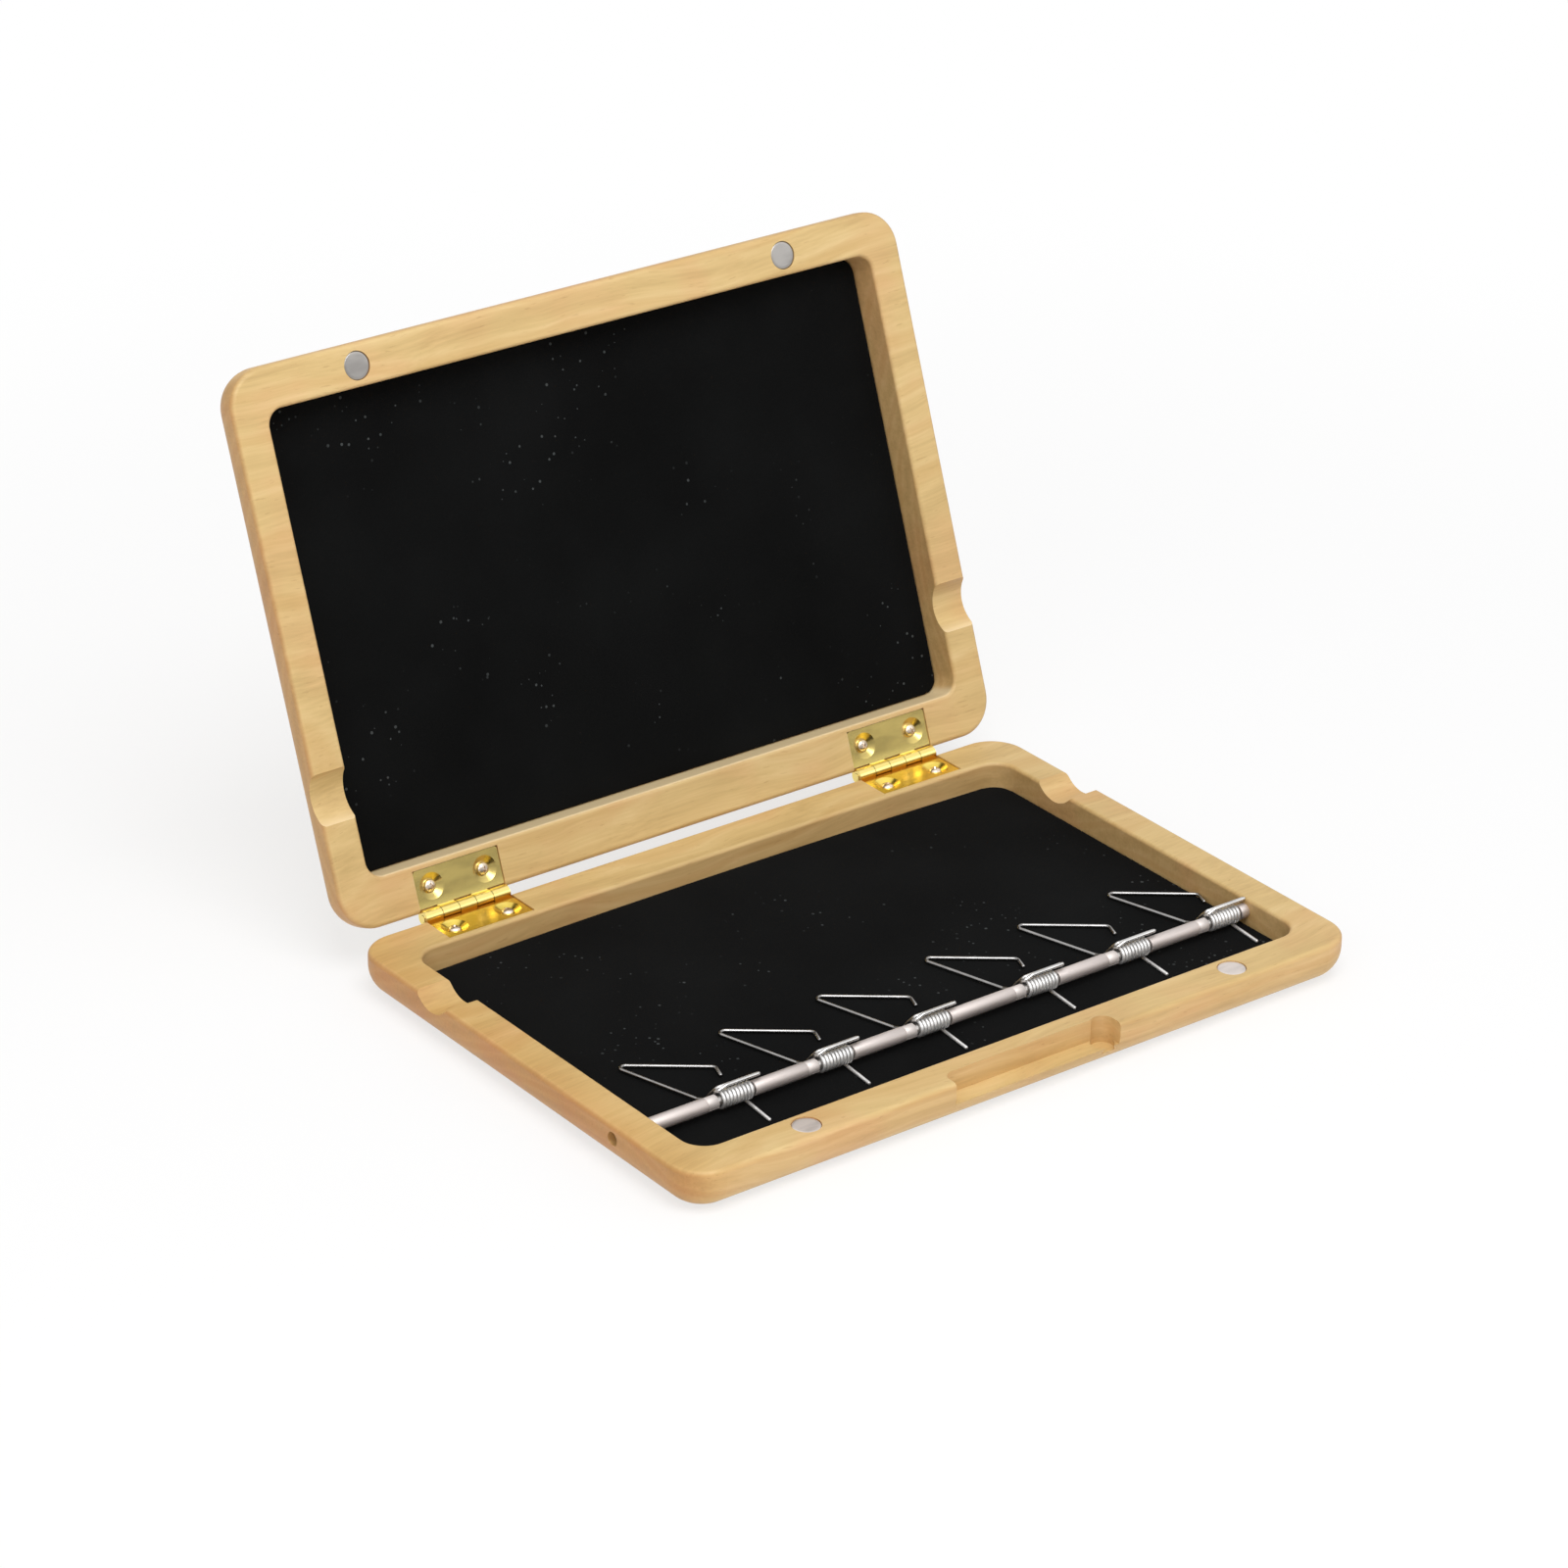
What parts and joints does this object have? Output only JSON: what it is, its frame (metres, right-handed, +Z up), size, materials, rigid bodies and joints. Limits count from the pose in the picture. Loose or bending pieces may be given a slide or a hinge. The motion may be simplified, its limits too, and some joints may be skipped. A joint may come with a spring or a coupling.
{
  "type": "reed case",
  "caption": "Flat wooden reed case with a hinged lid held shut by magnets, soft dark linings and sprung wire clips on a rod that hold bassoon reeds down.",
  "frame": {"origin": "centre of the base's flat underside", "axes": "+X along the hinge side to the right seen from the front, +Y from the front edge to the hinged edge, +Z up out of the open base"},
  "size_m": [0.142, 0.1392, 0.1004],
  "materials": {
    "wood": "satin",
    "velvet": "matte",
    "hinge_brass": "polished",
    "screw_brass": "polished",
    "magnet_nickel": "satin",
    "rod_steel": "satin",
    "tube_steel": "satin",
    "spring_wire": "polished"
  },
  "bodies": {
    "base": {"base_tray": "wood", "base_lining": "velvet", "left_hinge_base_leaf": "hinge_brass", "right_hinge_base_leaf": "hinge_brass", "left_hinge_pin": "hinge_brass", "right_hinge_pin": "hinge_brass", "left_base_leaf_screws": "screw_brass", "right_base_leaf_screws": "screw_brass", "left_base_magnet": "magnet_nickel", "right_base_magnet": "magnet_nickel", "clip_rod": "rod_steel", "rod_spacer_1": "tube_steel", "rod_spacer_2": "tube_steel", "rod_spacer_3": "tube_steel", "rod_spacer_4": "tube_steel", "rod_spacer_5": "tube_steel", "rod_spacer_6": "tube_steel", "rod_spacer_7": "tube_steel", "rod_collar_1": "tube_steel", "rod_collar_2": "tube_steel", "rod_collar_3": "tube_steel", "rod_collar_4": "tube_steel", "rod_collar_5": "tube_steel", "rod_collar_6": "tube_steel", "clip_1_foot": "spring_wire", "clip_2_foot": "spring_wire", "clip_3_foot": "spring_wire", "clip_4_foot": "spring_wire", "clip_5_foot": "spring_wire", "clip_6_foot": "spring_wire"},
    "lid": {"lid_shell": "wood", "lid_lining": "velvet", "left_hinge_lid_leaf": "hinge_brass", "right_hinge_lid_leaf": "hinge_brass", "left_lid_leaf_screws": "screw_brass", "right_lid_leaf_screws": "screw_brass", "left_lid_magnet": "magnet_nickel", "right_lid_magnet": "magnet_nickel"},
    "clip_1": {"clip_1": "spring_wire"},
    "clip_2": {"clip_2": "spring_wire"},
    "clip_3": {"clip_3": "spring_wire"},
    "clip_4": {"clip_4": "spring_wire"},
    "clip_5": {"clip_5": "spring_wire"},
    "clip_6": {"clip_6": "spring_wire"}
  },
  "joints": [
    {"name": "lid_hinge", "type": "hinge", "parent": "base", "child": "lid", "pos_m": [0, 0.04984, 0.008], "axis": [-1, 0, 0], "range_deg": [-110.4, 0]},
    {"name": "clip_1_lift", "type": "hinge", "parent": "base", "child": "clip_1", "pos_m": [-0.0462, -0.0273, 0.00565], "axis": [1, 0, 0], "range_deg": [0, 24], "stiffness_Nm_per_rad": 0.004},
    {"name": "clip_2_lift", "type": "hinge", "parent": "base", "child": "clip_2", "pos_m": [-0.0257, -0.0273, 0.00565], "axis": [1, 0, 0], "range_deg": [0, 24], "stiffness_Nm_per_rad": 0.004},
    {"name": "clip_3_lift", "type": "hinge", "parent": "base", "child": "clip_3", "pos_m": [-0.0052, -0.0273, 0.00565], "axis": [1, 0, 0], "range_deg": [0, 24], "stiffness_Nm_per_rad": 0.004},
    {"name": "clip_4_lift", "type": "hinge", "parent": "base", "child": "clip_4", "pos_m": [0.0182, -0.0273, 0.00565], "axis": [1, 0, 0], "range_deg": [0, 24], "stiffness_Nm_per_rad": 0.004},
    {"name": "clip_5_lift", "type": "hinge", "parent": "base", "child": "clip_5", "pos_m": [0.0387, -0.0273, 0.00565], "axis": [1, 0, 0], "range_deg": [0, 24], "stiffness_Nm_per_rad": 0.004},
    {"name": "clip_6_lift", "type": "hinge", "parent": "base", "child": "clip_6", "pos_m": [0.0592, -0.0273, 0.00565], "axis": [1, 0, 0], "range_deg": [0, 24], "stiffness_Nm_per_rad": 0.004}
  ]
}
